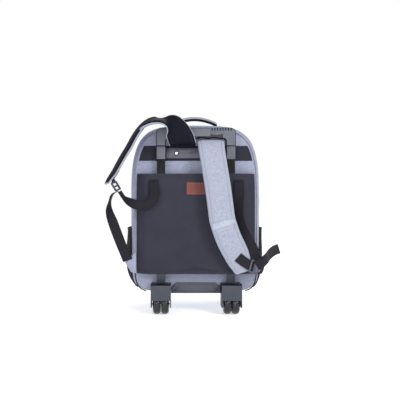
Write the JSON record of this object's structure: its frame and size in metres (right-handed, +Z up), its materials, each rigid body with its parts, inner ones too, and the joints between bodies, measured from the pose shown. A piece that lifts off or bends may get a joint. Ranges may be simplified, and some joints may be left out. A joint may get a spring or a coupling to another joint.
{
  "type": "wheeled backpack",
  "caption": "Wheeled school backpack with padded shoulder straps, a telescopic trolley handle, twin wheels under its back edge, mesh side pockets and a cover panel over the trolley tubes.",
  "frame": {"origin": "centre of the overall box at floor level; the bag is symmetric about x = 0", "axes": "+Z up, +Y from the shoulder straps to the front of the bag, +X to the right as seen from the strap side"},
  "size_m": [0.4498, 0.2791, 0.5053],
  "materials": {
    "heather": "heather blue-grey polyester, matte",
    "nylon": "charcoal nylon, slight sheen",
    "webbing": "black polyester webbing",
    "mesh": "black knitted mesh",
    "piping": "light grey piping",
    "plastic": "grey moulded plastic",
    "dark_plastic": "dark grey moulded plastic",
    "tube": "black coated tube",
    "tyre": "smooth dark rubber",
    "steel": "bright steel",
    "label": "terracotta woven label",
    "reflective": "pale reflective tape"
  },
  "bodies": {
    "bag": {"back_shell": "heather", "front_shell": "heather", "haul_loop": "heather", "wing_left": "heather", "wing_right": "heather", "shoulder_strap_left": "heather", "shoulder_strap_right": "heather", "cover_panel": "nylon", "zip_tape": "webbing", "back_band": "webbing", "anchor_patch_left": "webbing", "anchor_patch_right": "webbing", "corner_binding_left": "webbing", "corner_binding_right": "webbing", "end_tab_left": "webbing", "end_tab_right": "webbing", "panel_webbing_left": "webbing", "panel_webbing_right": "webbing", "lower_webbing_left": "webbing", "lower_webbing_right": "webbing", "strap_tail_right": "webbing", "mesh_pocket_left": "mesh", "mesh_pocket_right": "mesh", "seam_piping": "piping", "bracket_plate": "plastic", "collar_left": "plastic", "collar_right": "plastic", "base_plate": "dark_plastic", "wheel_housing_left": "dark_plastic", "wheel_housing_right": "dark_plastic", "foot_left": "dark_plastic", "foot_right": "dark_plastic", "ladder_lock_left": "dark_plastic", "ladder_lock_right": "dark_plastic", "outer_tube_left": "tube", "outer_tube_right": "tube", "zip_slider": "steel", "rivet_left": "steel", "rivet_right": "steel", "axle_left": "steel", "axle_right": "steel", "panel_label": "label", "reflective_strip": "reflective", "zip_pull": "reflective"},
    "handle_stage": {"middle_tube_left": "tube", "middle_tube_right": "tube"},
    "handle": {"grip": "plastic", "grip_plate": "plastic", "inner_tube_left": "tube", "inner_tube_right": "tube"},
    "wheel_left_outer_body": {"wheel_left_outer": "tyre"},
    "wheel_left_inner_body": {"wheel_left_inner": "tyre"},
    "wheel_right_outer_body": {"wheel_right_outer": "tyre"},
    "wheel_right_inner_body": {"wheel_right_inner": "tyre"}
  },
  "joints": [
    {"name": "stage_slide", "type": "slide", "parent": "bag", "child": "handle_stage", "axis": [0, 0, 1], "range_m": [0, 0.28]},
    {"name": "grip_slide", "type": "slide", "parent": "handle_stage", "child": "handle", "axis": [0, 0, 1], "range_m": [0, 0.26]},
    {"name": "left_outer_spin", "type": "hinge", "parent": "bag", "child": "wheel_left_outer_body", "pos_m": [-0.0977, -0.078, 0.025], "axis": [1, 0, 0], "continuous": true},
    {"name": "left_inner_spin", "type": "hinge", "parent": "bag", "child": "wheel_left_inner_body", "pos_m": [-0.0773, -0.078, 0.025], "axis": [1, 0, 0], "continuous": true},
    {"name": "right_outer_spin", "type": "hinge", "parent": "bag", "child": "wheel_right_outer_body", "pos_m": [0.0977, -0.078, 0.025], "axis": [1, 0, 0], "continuous": true},
    {"name": "right_inner_spin", "type": "hinge", "parent": "bag", "child": "wheel_right_inner_body", "pos_m": [0.0773, -0.078, 0.025], "axis": [1, 0, 0], "continuous": true}
  ]
}
